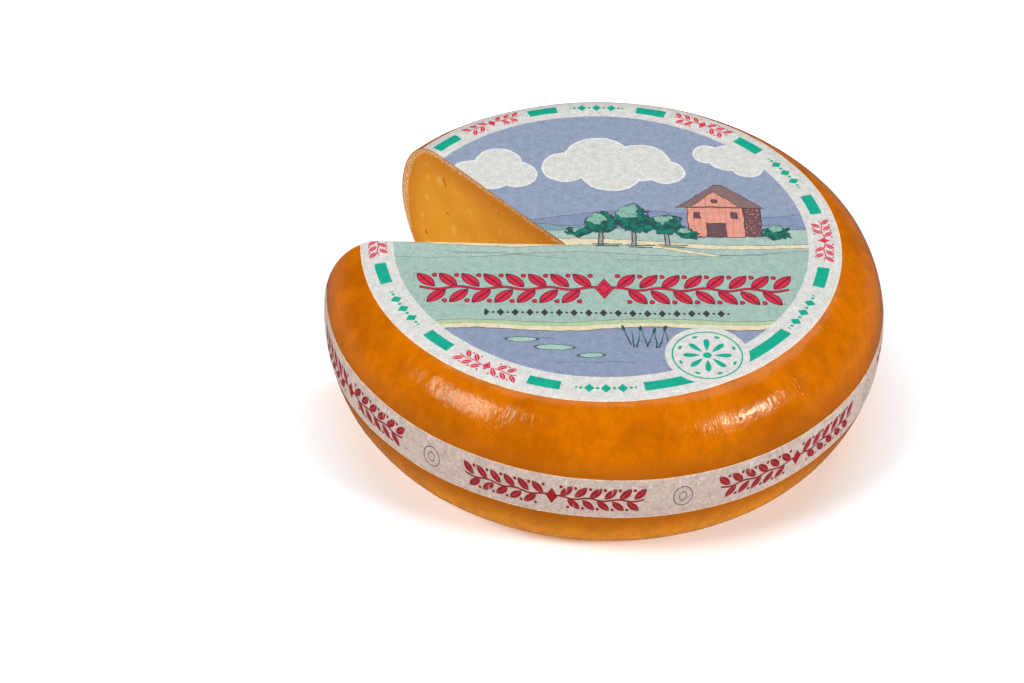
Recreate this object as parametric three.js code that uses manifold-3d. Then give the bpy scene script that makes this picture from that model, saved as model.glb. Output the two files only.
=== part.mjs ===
// A whole wheel of aged cheese with one wedge cut out of it: the coated cheese itself, a round paper
// label on its top face and a paper band around its side. Millimetres, +Z up, with the origin at the
// centre of the flat face that the wheel rests on.
import * as THREE from 'three';
import { mergeVertices } from 'three/addons/utils/BufferGeometryUtils.js';
import Module from 'manifold-3d';

// Driving dimensions
const wheelRadius = 180;
const wheelHeight = 112;
const widestHeight = 59; // height at which the side bulges out furthest
const topFlatRadius = 142.6;
const baseFlatRadius = 141;
const topRoundness = 2.05; // superellipse exponents of the side, above and below its widest height
const baseRoundness = 2.13;

const labelRadius = 152.4;
const labelCentre = [-2.9, 3.2]; // the label is laid on by hand, a little off centre
const bandWidth = 30;
const bandMiddleHeight = 59;
const bandSlope = [-0.0083, -0.0122]; // rise of the band per millimetre along X and along Y
const paperThickness = 0.35;
const glueGap = 0.3; // between the coat and the paper

const notchTip = [-24.8, -3.9]; // where the two knife cuts meet, a little short of the wheel's axis
const notchFrontAngle = 178.9; // directions of the two cuts from the tip, in degrees from +X
const notchBackAngle = 131.7;

// Facets
const turnSteps = 80;
const curveSteps = 8;
const paperCurveSteps = 5;

const cutReach = 2 * wheelRadius; // cutting tools run well past the wheel
const wasm = await Module();
wasm.setup();

// The side's outline is a quarter superellipse above the widest height and another one below it.
// A turn of 0 is the flat face's edge and a quarter turn is the widest point.
function sidePoint(turn, flatRadius, faceHeight, roundness) {
  const radius = flatRadius + (wheelRadius - flatRadius) * Math.sin(turn) ** (2 / roundness);
  const height = widestHeight + (faceHeight - widestHeight) * Math.cos(turn) ** (2 / roundness);
  return new THREE.Vector2(radius, height);
}

const upperSide = (turn) => sidePoint(turn, topFlatRadius, wheelHeight, topRoundness);
const lowerSide = (turn) => sidePoint(turn, baseFlatRadius, 0, baseRoundness);

// Points along one outline between two turns, in the order of the turns.
function outline(side, fromTurn, toTurn, steps) {
  return Array.from({ length: steps + 1 }, (_, i) => side(fromTurn + ((toTurn - fromTurn) * i) / steps));
}

// The turn at which a falling or rising measure of the outline reaches a value.
function turnWhere(measure, value) {
  let low = 0;
  let high = Math.PI / 2;
  for (let i = 0; i < 40; i += 1) {
    const middle = (low + high) / 2;
    if (measure(middle) < value) low = middle;
    else high = middle;
  }
  return low;
}

// The outline moved outwards along its own normals.
function offset(points, distance) {
  return points.map((point, i) => {
    const before = points[Math.max(i - 1, 0)];
    const after = points[Math.min(i + 1, points.length - 1)];
    const along = after.clone().sub(before).normalize();
    return new THREE.Vector2(point.x - along.y * distance, point.y + along.x * distance);
  });
}

// A profile in radius and height is spun about the Z axis.
function spin(points) {
  return new THREE.LatheGeometry(points, turnSteps).rotateX(Math.PI / 2);
}

// Solids for cutting, made from closed geometries.
function toSolid(geometry) {
  const bare = geometry.clone();
  bare.deleteAttribute('normal');
  bare.deleteAttribute('uv');
  const merged = mergeVertices(bare, 1e-4);
  return new wasm.Manifold(
    new wasm.Mesh({
      numProp: 3,
      vertProperties: new Float32Array(merged.attributes.position.array),
      triVerts: new Uint32Array(merged.index.array),
    }),
  );
}

function toGeometry(solid) {
  const mesh = solid.getMesh();
  const geometry = new THREE.BufferGeometry();
  geometry.setAttribute('position', new THREE.BufferAttribute(mesh.vertProperties, 3));
  geometry.setIndex(new THREE.BufferAttribute(mesh.triVerts, 1));
  geometry.computeVertexNormals();
  return geometry;
}

// The wedge that is cut out, as a tall prism between the two knife cuts.
function notchGeometry() {
  const reachPoint = (degrees) => {
    const angle = THREE.MathUtils.degToRad(degrees);
    return [notchTip[0] + cutReach * Math.cos(angle), notchTip[1] + cutReach * Math.sin(angle)];
  };
  const plan = new THREE.Shape();
  plan.moveTo(...notchTip);
  plan.lineTo(...reachPoint(notchBackAngle));
  plan.lineTo(...reachPoint(notchFrontAngle));
  plan.closePath();
  const prism = new THREE.ExtrudeGeometry(plan, { depth: 2 * wheelHeight, bevelEnabled: false });
  return prism.translate(0, 0, -wheelHeight / 2);
}

const notch = toSolid(notchGeometry());

// Cheese, with its coat: one solid, turned and then cut
function cheeseGeometry() {
  const quarter = Math.PI / 2;
  const points = [
    new THREE.Vector2(0, 0),
    ...outline(lowerSide, 0, quarter, curveSteps),
    ...outline(upperSide, quarter, 0, curveSteps).slice(1),
    new THREE.Vector2(0, wheelHeight),
  ];
  return toGeometry(toSolid(spin(points)).subtract(notch));
}

// Top label: a thin disc that follows the flat top and dips over its rounded edge
function topLabelGeometry() {
  const edgeRadius = labelRadius + Math.hypot(...labelCentre) + 2 * paperThickness;
  const edgeTurn = turnWhere((turn) => upperSide(turn).x, edgeRadius);
  const surface = outline(upperSide, edgeTurn, 0, paperCurveSteps);
  const underside = offset(surface, -glueGap);
  const topside = offset(surface, -glueGap - paperThickness);
  const axisPoint = (points) => new THREE.Vector2(0, points[points.length - 1].y);
  const profile = [axisPoint(underside), ...underside.reverse(), ...topside, axisPoint(topside)];
  const disc = new THREE.CylinderGeometry(labelRadius, labelRadius, wheelHeight, turnSteps);
  disc.rotateX(Math.PI / 2).translate(...labelCentre, wheelHeight);
  return toGeometry(toSolid(spin(profile)).intersect(toSolid(disc)).subtract(notch));
}

// Side band: a paper strip around the widest part, wound on slightly askew
function sideBandGeometry() {
  const slant = Math.hypot(...bandSlope) * wheelRadius;
  const margin = bandWidth / 2 + slant + 2 * paperThickness;
  const lowTurn = turnWhere((turn) => lowerSide(turn).y, bandMiddleHeight - margin);
  const highTurn = turnWhere((turn) => -upperSide(turn).y, -bandMiddleHeight - margin);
  const surface = [
    ...outline(lowerSide, lowTurn, Math.PI / 2, paperCurveSteps),
    ...outline(upperSide, Math.PI / 2, highTurn, paperCurveSteps).slice(1),
  ];
  const inner = offset(surface, -glueGap);
  const outer = offset(surface, -glueGap - paperThickness).reverse();
  const ring = spin([...inner, ...outer, inner[0].clone()].reverse());
  const slab = new THREE.BoxGeometry(cutReach * 2, cutReach * 2, bandWidth);
  slab.rotateX(Math.atan(bandSlope[1])).rotateY(-Math.atan(bandSlope[0]));
  slab.translate(0, 0, bandMiddleHeight);
  return toGeometry(toSolid(ring).intersect(toSolid(slab)).subtract(notch));
}

const coat = new THREE.MeshStandardMaterial({ color: '#d97f10', roughness: 0.28, metalness: 0 });
const labelPaper = new THREE.MeshStandardMaterial({ color: '#e8e4df', roughness: 0.6, metalness: 0 });
const bandPaper = new THREE.MeshStandardMaterial({ color: '#dccdc4', roughness: 0.6, metalness: 0 });

function namedMesh(name, geometry, material) {
  const mesh = new THREE.Mesh(geometry, material);
  mesh.name = name;
  return mesh;
}

const cheeseWheel = new THREE.Group();
cheeseWheel.add(namedMesh('cheese', cheeseGeometry(), coat));
cheeseWheel.add(namedMesh('top_label', topLabelGeometry(), labelPaper));
cheeseWheel.add(namedMesh('side_band', sideBandGeometry(), bandPaper));

export default cheeseWheel;
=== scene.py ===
import math

import bmesh
import bpy
import numpy as np
from mathutils import Matrix, Vector, noise


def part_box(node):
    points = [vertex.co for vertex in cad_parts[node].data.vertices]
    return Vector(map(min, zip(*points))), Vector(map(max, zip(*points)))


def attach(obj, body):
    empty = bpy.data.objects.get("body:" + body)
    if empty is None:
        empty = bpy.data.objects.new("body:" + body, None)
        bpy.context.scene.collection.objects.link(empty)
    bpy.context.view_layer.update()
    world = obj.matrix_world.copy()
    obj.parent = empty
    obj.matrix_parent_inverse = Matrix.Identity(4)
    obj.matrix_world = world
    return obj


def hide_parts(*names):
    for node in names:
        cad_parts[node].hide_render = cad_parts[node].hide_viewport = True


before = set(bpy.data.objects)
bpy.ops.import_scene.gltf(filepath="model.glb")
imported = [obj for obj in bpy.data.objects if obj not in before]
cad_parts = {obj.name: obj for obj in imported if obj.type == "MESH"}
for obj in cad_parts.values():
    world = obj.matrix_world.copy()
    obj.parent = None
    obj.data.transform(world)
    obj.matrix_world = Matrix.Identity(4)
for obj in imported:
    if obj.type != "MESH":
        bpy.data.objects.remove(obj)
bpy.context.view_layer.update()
print("frame loaded")

mm = 0.001  # every shape below is worked out in millimetres and scaled once, when its mesh is made
scene = bpy.context.scene
scene.view_settings.view_transform = "Standard"

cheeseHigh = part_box("cheese")[1]
labelLow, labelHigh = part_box("top_label")
bandLow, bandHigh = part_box("side_band")

wheel = {
    "radius": cheeseHigh.x / mm,
    "height": cheeseHigh.z / mm,
    "widestHeight": 59,  # where the side bulges out furthest
    "topFlatRadius": 142.6,
    "baseFlatRadius": 141,
    "topRoundness": 2.05,  # superellipse exponents of the side
    "baseRoundness": 2.13,
    "notchTip": (-24.8, -3.9),  # where the two knife cuts meet
    "frontCut": 178.9,  # directions of the cuts from the tip, in degrees
    "backCut": 131.7,
    "lumps": [(60, 0.55), (17, 0.16)],  # size of the hand-made unevenness and how far it stands out
    "sagBelowBackCut": 5.5,  # the underside is drawn in here by the cut
    "sagSpread": 50,  # degrees to either side
    "sagRadii": (60, 140),  # nothing at the first, all of it from the second outwards
    "lumpsFrom": (2, 20),  # heights between which the unevenness sets in
    "stillTip": 20,  # distance from the notch's tip over which the skin starts to move sideways
}
labelRadius = (labelHigh.y - labelLow.y) / 2 / mm
labelCentre = np.array([labelHigh.x / mm - labelRadius, (labelHigh.y + labelLow.y) / 2 / mm])
tip = np.array(wheel["notchTip"])


def smooth(low, high, value):
    x = np.clip((value - low) / (high - low), 0, 1)
    return x * x * (3 - 2 * x)


def sideShape(upper):
    # the flat's radius, the face's height and the roundness of the upper or the lower half
    flat = np.where(upper, wheel["topFlatRadius"], wheel["baseFlatRadius"])
    face = np.where(upper, wheel["height"], 0)
    return flat, face, np.where(upper, wheel["topRoundness"], wheel["baseRoundness"])


def sidePoint(along):
    # along runs from -1 at the base flat's edge through 0 at the widest point to 1 at the top flat's edge
    quarter = np.abs(along) * math.pi / 2
    flat, face, roundness = sideShape(along >= 0)
    power = 2 / roundness
    radius = flat + (wheel["radius"] - flat) * np.cos(quarter) ** power
    height = wheel["widestHeight"] + (face - wheel["widestHeight"]) * np.sin(quarter) ** power
    return radius, height


def sideRadius(height):
    flat, face, power = sideShape(height >= wheel["widestHeight"])
    share = (height - wheel["widestHeight"]) / (face - wheel["widestHeight"])
    return flat + (wheel["radius"] - flat) * (1 - np.clip(share, 0, 1) ** power) ** (1 / power)


def topHeight(radius):
    rise = wheel["height"] - wheel["widestHeight"]
    share = (radius - wheel["topFlatRadius"]) / (wheel["radius"] - wheel["topFlatRadius"])
    power = wheel["topRoundness"]
    return wheel["widestHeight"] + rise * (1 - np.clip(share, 0, 1) ** power) ** (1 / power)


def outward(radius, height):
    # the ideal skin's normal, as its share along the radius and along the height
    upper = height >= wheel["widestHeight"]
    flat, face, power = sideShape(upper)
    across = wheel["radius"] - flat
    tall = np.abs(face - wheel["widestHeight"])
    out = np.clip((radius - flat) / across, 0, 1) ** (power - 1) / across
    up = np.clip(np.abs(height - wheel["widestHeight"]) / tall, 0, 1) ** (power - 1) / tall
    length = np.hypot(out, up)
    return out / length, np.where(upper, up, -up) / length


def reach(direction, radius, centre=(0.0, 0.0)):
    # how far a ray from the notch's tip runs to a circle
    offset = tip - np.array(centre)
    along = offset[0] * np.cos(direction) + offset[1] * np.sin(direction)
    return -along + np.sqrt(along**2 - offset @ offset + radius**2)


def unevenness(points):
    total = np.zeros(len(points))
    for size, amount in wheel["lumps"]:
        total += amount * np.array([noise.noise(Vector(p) / size) for p in points])
    return total


def onSkin(points, lift=0.0):
    # moves points of the ideal skin onto the real, slightly lumpy one, each within its own upright
    # plane through the tip, so that both cuts stay flat
    points = np.array(points, float)
    radius = np.hypot(points[:, 0], points[:, 1])
    normalOut, normalUp = outward(radius, points[:, 2])
    fromTip = points[:, :2] - tip
    distance = np.maximum(np.hypot(fromTip[:, 0], fromTip[:, 1]), 1e-6)
    ray = fromTip / distance[:, None]
    turn = np.degrees(np.arctan2(points[:, 1], points[:, 0]))
    away = np.abs((turn - wheel["backCut"] + 180) % 360 - 180)
    sag = wheel["sagBelowBackCut"] * (1 - smooth(0, wheel["sagSpread"], away))
    sag = sag * (1 - smooth(0, wheel["widestHeight"], points[:, 2])) * smooth(*wheel["sagRadii"], radius)
    bump = unevenness(points) * smooth(*wheel["lumpsFrom"], points[:, 2])
    push = (bump + lift) * normalOut * smooth(0, wheel["stillTip"], distance) - sag
    points[:, 0] += ray[:, 0] * push
    points[:, 1] += ray[:, 1] * push
    points[:, 2] += (bump + lift) * normalUp
    return points


def columnAngles(count):
    first = math.radians(wheel["frontCut"])
    last = math.radians(wheel["backCut"] + 360)
    return np.linspace(first, last, count)


def makeObject(name, points, faces, materialIndices=None):
    mesh = bpy.data.meshes.new(name)
    mesh.from_pydata((np.asarray(points) * mm).tolist(), [], faces)
    if materialIndices is not None:
        mesh.polygons.foreach_set("material_index", materialIndices)
    mesh.polygons.foreach_set("use_smooth", [True] * len(mesh.polygons))
    made = bpy.data.objects.new(name, mesh)
    scene.collection.objects.link(made)
    return made


def markSharp(made, degrees):
    # turns all normals outwards and keeps creases and the borders of materials crisp
    work = bmesh.new()
    work.from_mesh(made.data)
    bmesh.ops.recalc_face_normals(work, faces=work.faces)
    for edge in work.edges:
        if len(edge.link_faces) != 2:
            continue
        one, two = edge.link_faces
        if one.material_index != two.material_index or edge.calc_face_angle() > math.radians(degrees):
            edge.smooth = False
    work.to_mesh(made.data)
    work.free()


cheeseMesh = {
    "columns": 420,
    "sideRows": 108,
    "flatSteps": 12,  # rows of the hidden flat faces
    "cutSteps": 120,  # finer rows along both cuts
    "cutWave": 0.35,  # how far the knife wandered
    "cutGrain": 0.16,  # crumbly surface
    "crustGrain": 0.3,  # the dry rind tears more
    "crustDepth": 6,
    "waveSize": 34,
    "grainSize": 1.9,
    "crispEdge": 3,  # the marks fade out over this much at the border of the cut
}


def zipFaces(lower, upper):
    # faces between two rows of vertices, whose counts may differ
    faces = []
    i = j = 0
    while i < len(lower) - 1 or j < len(upper) - 1:
        nextLower = (i + 1) / (len(lower) - 1) if i < len(lower) - 1 else 2
        nextUpper = (j + 1) / (len(upper) - 1) if j < len(upper) - 1 else 2
        if abs(nextLower - nextUpper) < 1e-9:
            corners = [lower[i], lower[i + 1], upper[j + 1], upper[j]]
            i, j = i + 1, j + 1
        elif nextLower < nextUpper:
            corners = [lower[i], lower[i + 1], upper[j]]
            i += 1
        else:
            corners = [lower[i], upper[j + 1], upper[j]]
            j += 1
        corners = [c for k, c in enumerate(corners) if c != corners[k - 1]]
        if len(corners) > 2:
            faces.append(corners)
    return faces


def makeCheese():
    columns, rows = cheeseMesh["columns"], cheeseMesh["sideRows"]
    angles = columnAngles(columns)
    radius, height = sidePoint(np.linspace(-1, 1, rows + 1))
    points = []

    def addPoints(new):
        start = sum(len(p) for p in points)
        points.append(np.asarray(new))
        return list(range(start, start + len(new)))

    # the upright line where the two cuts meet
    tipLine = addPoints([(tip[0], tip[1], z) for z in height])
    sides, sidePlaces = [], []
    for angle in angles:
        run = reach(angle, radius)
        ideal = np.stack([tip[0] + run * np.cos(angle), tip[1] + run * np.sin(angle), height], 1)
        sidePlaces.append(onSkin(ideal))
        sides.append(addPoints(sidePlaces[-1]))

    flats = {}
    for face, row in (("base", 0), ("top", rows)):
        lines = []
        for i in range(columns):
            steps = cheeseMesh["cutSteps"] if i in (0, columns - 1) else cheeseMesh["flatSteps"]
            share = np.arange(1, steps)[:, None] / steps
            start = np.array([tip[0], tip[1], height[row]])
            direction = np.array([math.cos(angles[i]), math.sin(angles[i])])
            end = np.append(tip + reach(angles[i], radius[row]) * direction, height[row])
            line = addPoints(onSkin(start + (end - start) * share))
            lines.append([tipLine[row]] + line + [sides[i][row]])
        flats[face] = lines

    faces = []
    for i in range(columns - 1):
        faces += zipFaces(sides[i], sides[i + 1])
        faces += zipFaces(flats["base"][i], flats["base"][i + 1])
        faces += zipFaces(flats["top"][i], flats["top"][i + 1])
    materialIndices = [0] * len(faces)

    # the two cut faces are grids from the tip to the side, with the knife's marks in them
    allPlaces = np.concatenate(points)
    for column in (0, columns - 1):
        angle = angles[column]
        across = np.array([-math.sin(angle), math.cos(angle), 0])
        steps = cheeseMesh["cutSteps"]
        topLine = allPlaces[flats["top"][column]]
        share = np.linspace(0, 1, steps + 1)
        previous = flats["base"][column]
        for row in range(1, rows + 1):
            if row == rows:
                current = flats["top"][column]
            else:
                start = np.array([tip[0], tip[1], height[row]])
                line = start + (sidePlaces[column][row] - start) * share[:, None]
                settle = row / rows
                line[:, 2] += (topLine[:, 2] - wheel["height"]) * settle**4
                run = np.hypot(line[:, 0] - tip[0], line[:, 1] - tip[1])
                edge = np.minimum(np.minimum(line[:, 2], wheel["height"] - line[:, 2]), run)
                edge = np.minimum(edge, run[-1] - run)
                marks = knifeMarks(line, edge) * smooth(0, cheeseMesh["crispEdge"], edge)
                line += marks[:, None] * across
                inner = addPoints(line[1:-1])
                current = [tipLine[row]] + inner + [sides[column][row]]
            new = zipFaces(previous, current)
            faces += new
            materialIndices += [1] * len(new)
            previous = current
    made = makeObject("cheeseWheel", np.concatenate(points), faces, materialIndices)
    markSharp(made, 60)
    return made


def knifeMarks(line, edge):
    wave = np.array([noise.noise(Vector(p) / cheeseMesh["waveSize"]) for p in line]) * cheeseMesh["cutWave"]
    grain = np.array([noise.noise(Vector(p) / cheeseMesh["grainSize"]) for p in line])
    crust = 1 - smooth(cheeseMesh["crustDepth"] * 0.6, cheeseMesh["crustDepth"], edge)
    return wave + grain * (cheeseMesh["cutGrain"] + cheeseMesh["crustGrain"] * crust)


# small openings in the paste: distance from the tip, height, length, width and lean of each
backCutEyes = [
    (119.8, 92, 7.5, 2.6, 62),
    (116.8, 67.5, 3.2, 2.2, 20),
    (82, 30, 4.5, 3.4, 110),
    (140, 38, 3.6, 2.8, 40),
    (58, 66, 3.0, 2.2, 80),
]
frontCutEyes = [
    (96, 78, 6.0, 4.2, 35),
    (124, 60, 4.6, 3.6, 100),
    (70, 40, 5.4, 4.6, 75),
    (112, 28, 4.2, 2.8, 15),
    (48, 82, 3.4, 2.6, 120),
    (134, 86, 3.8, 3.0, 60),
]
eyeDepth = 0.9  # how far each goes in, as a share of its width
eyeRoughness = 0.28


def cutOpenings(made):
    work = bmesh.new()
    for degrees, eyes in ((wheel["frontCut"], frontCutEyes), (wheel["backCut"], backCutEyes)):
        angle = math.radians(degrees)
        for k, (run, height, length, width, lean) in enumerate(eyes):
            centre = Vector((tip[0] + run * math.cos(angle), tip[1] + run * math.sin(angle), height))
            ball = bmesh.ops.create_icosphere(work, subdivisions=3, radius=1)["verts"]
            place = Matrix.Translation(centre) @ Matrix.Rotation(angle, 4, "Z")
            place = place @ Matrix.Rotation(math.radians(-lean), 4, "Y")
            for vert in ball:
                rough = 1 + eyeRoughness * noise.noise(vert.co * 1.6 + Vector((k * 7.3, degrees, 0)))
                x, y, z = vert.co
                vert.co = place @ Vector((x * length / 2, y * width * eyeDepth, z * width / 2))
                vert.co = centre + (vert.co - centre) * rough
    for vert in work.verts:
        vert.co *= mm
    for face in work.faces:
        face.material_index = 1
        face.smooth = True
    mesh = bpy.data.meshes.new("eyes")
    work.to_mesh(mesh)
    work.free()
    cutter = bpy.data.objects.new("eyes", mesh)
    scene.collection.objects.link(cutter)
    for material in made.data.materials:
        mesh.materials.append(material)
    modifier = made.modifiers.new("eyes", "BOOLEAN")
    modifier.operation = "DIFFERENCE"
    modifier.solver = "EXACT"
    modifier.object = cutter
    bpy.context.view_layer.objects.active = made
    bpy.ops.object.modifier_apply(modifier=modifier.name)
    bpy.data.objects.remove(cutter)
    markSharp(made, 42)


paper = {
    "gap": 0.05,
    "thickness": 0.25,
    "puckerFrom": 136,  # the flat disc creases where it bends over the rounded edge
    "puckerHeight": 0.4,
    "labelColumns": 640,
    "labelRows": (16, 26),  # coarse over the flat, fine over the edge
    "bandWidth": 30,
    "bandColumns": 1400,
    "bandRows": 16,
    "bandTilt": (-0.0083, -0.0122),  # rise of the band along X and along Y
    "bandWander": 0.8,  # how far it sways up and down, twice in a round
    "bandPhase": 0.6,
    "seam": 68,  # degrees
    "overlap": 22,
}


def closeSheet(name, outer, inner, frontPlace, backPlace, rimShift):
    # a thin closed solid from two grids of the same size, indexed [column][row], and its own map for
    # the bake: frontPlace and backPlace lay out columns and rows, the rim lies beside the front
    columns, rows = outer.shape[:2]
    count = columns * rows
    points = np.concatenate([outer.reshape(-1, 3), inner.reshape(-1, 3)])
    number = np.arange(count).reshape(columns, rows)
    quads = np.stack([number[:-1, :-1], number[1:, :-1], number[1:, 1:], number[:-1, 1:]], -1)
    front = quads.reshape(-1, 4)
    back = front[:, ::-1]
    border = np.concatenate([number[:, 0], number[-1, 1:], number[-2::-1, -1], number[0, -2:0:-1]])
    following = np.roll(border, -1)
    rim = np.stack([following, border, border, following], 1)
    faces = np.concatenate([front, back + count, rim + [0, 0, count, count]])

    places = [frontPlace(front // rows, front % rows, front[:, :1] // rows),
              backPlace(back // rows, back % rows)]
    sides = np.repeat([0, 1, 2, 3], [columns - 1, rows - 1, columns - 1, rows - 1])
    firstColumn = np.minimum((rim // rows).min(1, keepdims=True), columns - 2)
    beside = frontPlace(rim // rows, rim % rows, firstColumn)
    beside[:, 2:] += rimShift(sides, rim[:, 2:] // rows)
    places.append(beside)

    made = makeObject(name, points, faces.tolist())
    layer = made.data.uv_layers.new(name="OFBake")
    layer.uv.foreach_set("vector", np.concatenate(places).astype(np.float32).ravel())
    return made


def makeLabel():
    angles = columnAngles(paper["labelColumns"])
    coarse, fine = paper["labelRows"]
    share = np.concatenate([np.linspace(0.0015, 0.88, coarse, endpoint=False), np.linspace(0.88, 1, fine)])
    run = reach(angles, labelRadius, labelCentre)
    x = tip[0] + run[:, None] * np.cos(angles)[:, None] * share
    y = tip[1] + run[:, None] * np.sin(angles)[:, None] * share
    ideal = np.stack([x, y, topHeight(np.hypot(x, y))], -1)
    fromCentre = np.hypot(x - labelCentre[0], y - labelCentre[1])
    turn = np.arctan2(y - labelCentre[1], x - labelCentre[0])
    ripple = [noise.noise(Vector((math.cos(t) * 9, math.sin(t) * 9, r / 60)))
              for t, r in zip(turn.ravel(), fromCentre.ravel())]
    fold = [noise.noise(Vector((math.cos(t) * 26, math.sin(t) * 26, 5)))
            for t in turn.ravel()]
    pucker = np.clip(np.array(ripple), 0, 1) + np.clip(np.array(fold) - 0.15, 0, 1)
    pucker = pucker * smooth(paper["puckerFrom"], labelRadius, fromCentre.ravel())
    pucker = pucker * paper["puckerHeight"]
    flat = ideal.reshape(-1, 3)
    outer = onSkin(flat, paper["gap"] + paper["thickness"] + pucker).reshape(ideal.shape)
    inner = onSkin(flat, paper["gap"] + pucker * 0.9).reshape(ideal.shape)

    # the face fills the bake's square, the underside lies small in a corner
    spread = 0.485 / labelRadius

    def frontPlace(column, row, firstColumn):
        return 0.5 + (outer[column, row, :2] - labelCentre) * spread

    def backPlace(column, row):
        return 0.085 + (outer[column, row, :2] - labelCentre) * 0.07 / labelRadius

    def rimShift(sides, column):
        turn = np.where(sides[:, None] == 2, angles[column], angles[column] + math.pi / 2)
        step = np.where(sides == 3, -0.006, 0.006)[:, None]
        return np.stack([np.cos(turn), np.sin(turn)], -1) * step[..., None]

    made = closeSheet("topLabel", outer, inner, frontPlace, backPlace, rimShift)
    markSharp(made, 50)
    return made


def bandHeight(x, y):
    # the middle of the band, as it was wound on
    middle = (bandLow.z + bandHigh.z) / 2 / mm
    turn = np.arctan2(y, x)
    wander = paper["bandWander"] * np.sin(2 * turn + paper["bandPhase"])
    return middle + paper["bandTilt"][0] * x + paper["bandTilt"][1] * y + wander


def makeBand():
    angles = columnAngles(paper["bandColumns"])
    run = reach(angles, wheel["radius"])
    x = tip[0] + run * np.cos(angles)
    y = tip[1] + run * np.sin(angles)
    across = np.linspace(-0.5, 0.5, paper["bandRows"] + 1)
    height = bandHeight(x, y)[:, None] + across * paper["bandWidth"]
    radius = sideRadius(height)
    run = reach(angles[:, None], radius)
    x = tip[0] + run * np.cos(angles)[:, None]
    y = tip[1] + run * np.sin(angles)[:, None]
    ideal = np.stack([x, y, height], -1)
    crease = bandCreases(np.arctan2(y, x), np.broadcast_to(across, x.shape))
    flat = ideal.reshape(-1, 3)
    outer = onSkin(flat, paper["gap"] + paper["thickness"] + crease.ravel()).reshape(ideal.shape)
    inner = onSkin(flat, paper["gap"] + crease.ravel() * 0.9).reshape(ideal.shape)

    # the strip is folded into rows for the bake, with its underside in the last one
    folds = 6
    perFold = math.ceil((paper["bandColumns"] - 1) / folds)

    def inFold(fold, share, row):
        height = (fold + 0.12 + 0.76 * row / paper["bandRows"]) / (folds + 1)
        return np.stack([0.01 + 0.98 * share, height], -1)

    def frontPlace(column, row, firstColumn):
        fold = firstColumn // perFold
        return inFold(fold, (column - fold * perFold) / perFold, row)

    def backPlace(column, row):
        return inFold(folds, column / (paper["bandColumns"] - 1), row)

    def rimShift(sides, column):
        steps = np.array([(0, -0.006), (0.006, 0), (0, 0.006), (-0.006, 0)])
        return steps[sides][:, None]

    made = closeSheet("sideBand", outer, inner, frontPlace, backPlace, rimShift)
    markSharp(made, 50)
    return made


def bandCreases(turn, across):
    # short folds that run in from either edge, where a straight strip meets a curved side
    draw = np.random.default_rng(5)
    along = turn * wheel["radius"]
    total = np.zeros(turn.shape)
    for place in np.arange(-math.pi, math.pi, 24 / wheel["radius"]):
        centre = (place + draw.uniform(-0.05, 0.05)) * wheel["radius"]
        edge = draw.choice([-0.5, 0.5])
        lean = draw.uniform(-5, 5)
        length = draw.uniform(0.2, 0.5)
        amount = draw.uniform(0.15, 0.4)
        inward = np.abs(across - edge)
        offset = along - centre - lean * inward
        total += amount * np.exp(-((offset / 0.7) ** 2)) * (1 - smooth(0, length, inward))
    # one end of the strip is glued over the other at the back
    first = math.radians(paper["seam"]) * wheel["radius"]
    last = first + paper["overlap"]
    total += paper["thickness"] * smooth(first, first + 0.8, along) * (1 - smooth(last, last + 0.8, along))
    return total


def feed(tree, value, socket):
    if isinstance(value, bpy.types.NodeSocket):
        tree.links.new(value, socket)
    else:
        socket.default_value = value


def addNode(tree, kind, values=None, **settings):
    node = tree.nodes.new("ShaderNode" + kind)
    for name, value in settings.items():
        setattr(node, name, value)
    for name, value in (values or {}).items():
        feed(tree, value, node.inputs[name])
    return node


def calc(tree, operation, *values, clamp=False):
    node = addNode(tree, "Math", dict(enumerate(values)), operation=operation, use_clamp=clamp)
    return node.outputs[0]


def vectorCalc(tree, operation, *values):
    return addNode(tree, "VectorMath", dict(enumerate(values)), operation=operation).outputs[0]


def enlarge(tree, vector, factor):
    return addNode(tree, "VectorMath", {"Vector": vector, "Scale": factor}, operation="SCALE").outputs[0]


def lengthOf(tree, vector):
    return addNode(tree, "VectorMath", {"Vector": vector}, operation="LENGTH").outputs["Value"]


def split(tree, vector):
    return addNode(tree, "SeparateXYZ", {"Vector": vector}).outputs


def join(tree, x, y, z=0.0):
    return addNode(tree, "CombineXYZ", {"X": x, "Y": y, "Z": z}).outputs[0]


def ramp(tree, value, low, high, start=0.0, end=1.0):
    # a soft step between two values
    values = dict(enumerate((value, low, high, start, end)))
    return addNode(tree, "MapRange", values, interpolation_type="SMOOTHSTEP").outputs[0]


def blend(tree, amount, first, second):
    return addNode(tree, "Mix", {0: amount, 6: first, 7: second}, data_type="RGBA").outputs[2]


def wrapPlace(tree, turn, first, period, radius, height):
    # local place within one of the prints that repeat round a circle, all angles in degrees
    half = math.radians(period / 2)
    wrapped = calc(tree, "WRAP", calc(tree, "SUBTRACT", turn, math.radians(first)), half, -half)
    return join(tree, calc(tree, "MULTIPLY", wrapped, radius), height)


def newMaterial(name):
    material = bpy.data.materials.new(name)
    material.use_nodes = True
    tree = material.node_tree
    return material, tree, tree.nodes["Principled BSDF"]


def emboss(tree, shader, height, distance):
    bump = addNode(tree, "Bump", {"Height": height, "Distance": distance, "Strength": 1.0})
    feed(tree, bump.outputs[0], shader.inputs["Normal"])


def finishPaper(tree, shader, colour, fibre, brightness, relief, roughness):
    # the fibre shades the print and stands out a little
    shade = calc(tree, "MULTIPLY", fibre["Shade"], brightness)
    feed(tree, enlarge(tree, colour, shade), shader.inputs["Base Color"])
    emboss(tree, shader, fibre["Height"], relief * mm)
    shader.inputs["Roughness"].default_value = roughness
    shader.inputs["Specular IOR Level"].default_value = 0.15


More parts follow.
